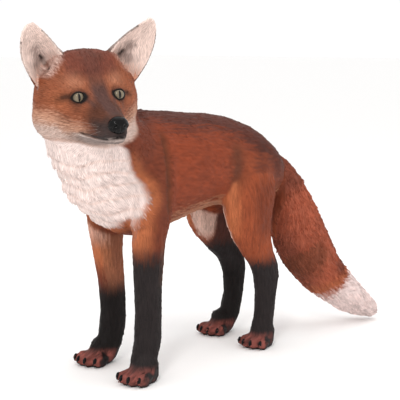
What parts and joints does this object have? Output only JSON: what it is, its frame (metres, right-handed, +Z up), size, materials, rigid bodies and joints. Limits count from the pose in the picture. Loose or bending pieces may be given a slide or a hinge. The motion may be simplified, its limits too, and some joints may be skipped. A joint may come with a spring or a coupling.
{
  "type": "painted resin fox statue",
  "caption": "Life-size standing red fox figure in painted cast resin, head turned to its left, brush hanging behind, standing on its own flat soles.",
  "frame": {"origin": "on the floor, under the middle of the figure's box", "axes": "+Z up, +Y from the head to the tail, +X to the fox's left"},
  "size_m": [0.2502, 0.8408, 0.5974],
  "materials": {
    "russet_paint": "satin lacquer over sprayed and brushed russet paint on moulded resin",
    "black_paint": "satin lacquer over black paint on moulded resin",
    "cream_paint": "satin lacquer over pinkish cream paint on moulded resin",
    "glossy_eye": "clear gloss over a painted iris",
    "glossy_black": "gloss black enamel"
  },
  "bodies": {
    "root": {"claw_fore_left_1": "glossy_black", "claw_fore_left_2": "glossy_black", "claw_fore_left_3": "glossy_black", "claw_fore_left_4": "glossy_black", "claw_fore_right_1": "glossy_black", "claw_fore_right_2": "glossy_black", "claw_fore_right_3": "glossy_black", "claw_fore_right_4": "glossy_black", "claw_hind_left_1": "glossy_black", "claw_hind_left_2": "glossy_black", "claw_hind_left_3": "glossy_black", "claw_hind_left_4": "glossy_black", "claw_hind_right_1": "glossy_black", "claw_hind_right_2": "glossy_black", "claw_hind_right_3": "glossy_black", "claw_hind_right_4": "glossy_black", "ear_left": "russet_paint", "ear_right": "russet_paint", "eye_left": "glossy_eye", "eye_right": "glossy_eye", "foreleg_left_lower": "black_paint", "foreleg_left_upper": "russet_paint", "foreleg_right_lower": "black_paint", "foreleg_right_upper": "russet_paint", "forepaw_left": "black_paint", "forepaw_right": "black_paint", "head": "russet_paint", "hindleg_left_lower": "black_paint", "hindleg_left_upper": "russet_paint", "hindleg_right_lower": "black_paint", "hindleg_right_upper": "russet_paint", "hindpaw_left": "black_paint", "hindpaw_right": "black_paint", "lower_jaw": "cream_paint", "neck": "russet_paint", "nose": "glossy_black", "tail_base": "russet_paint", "tail_middle": "russet_paint", "tail_tip": "cream_paint", "trunk": "russet_paint"}
  },
  "joints": []
}
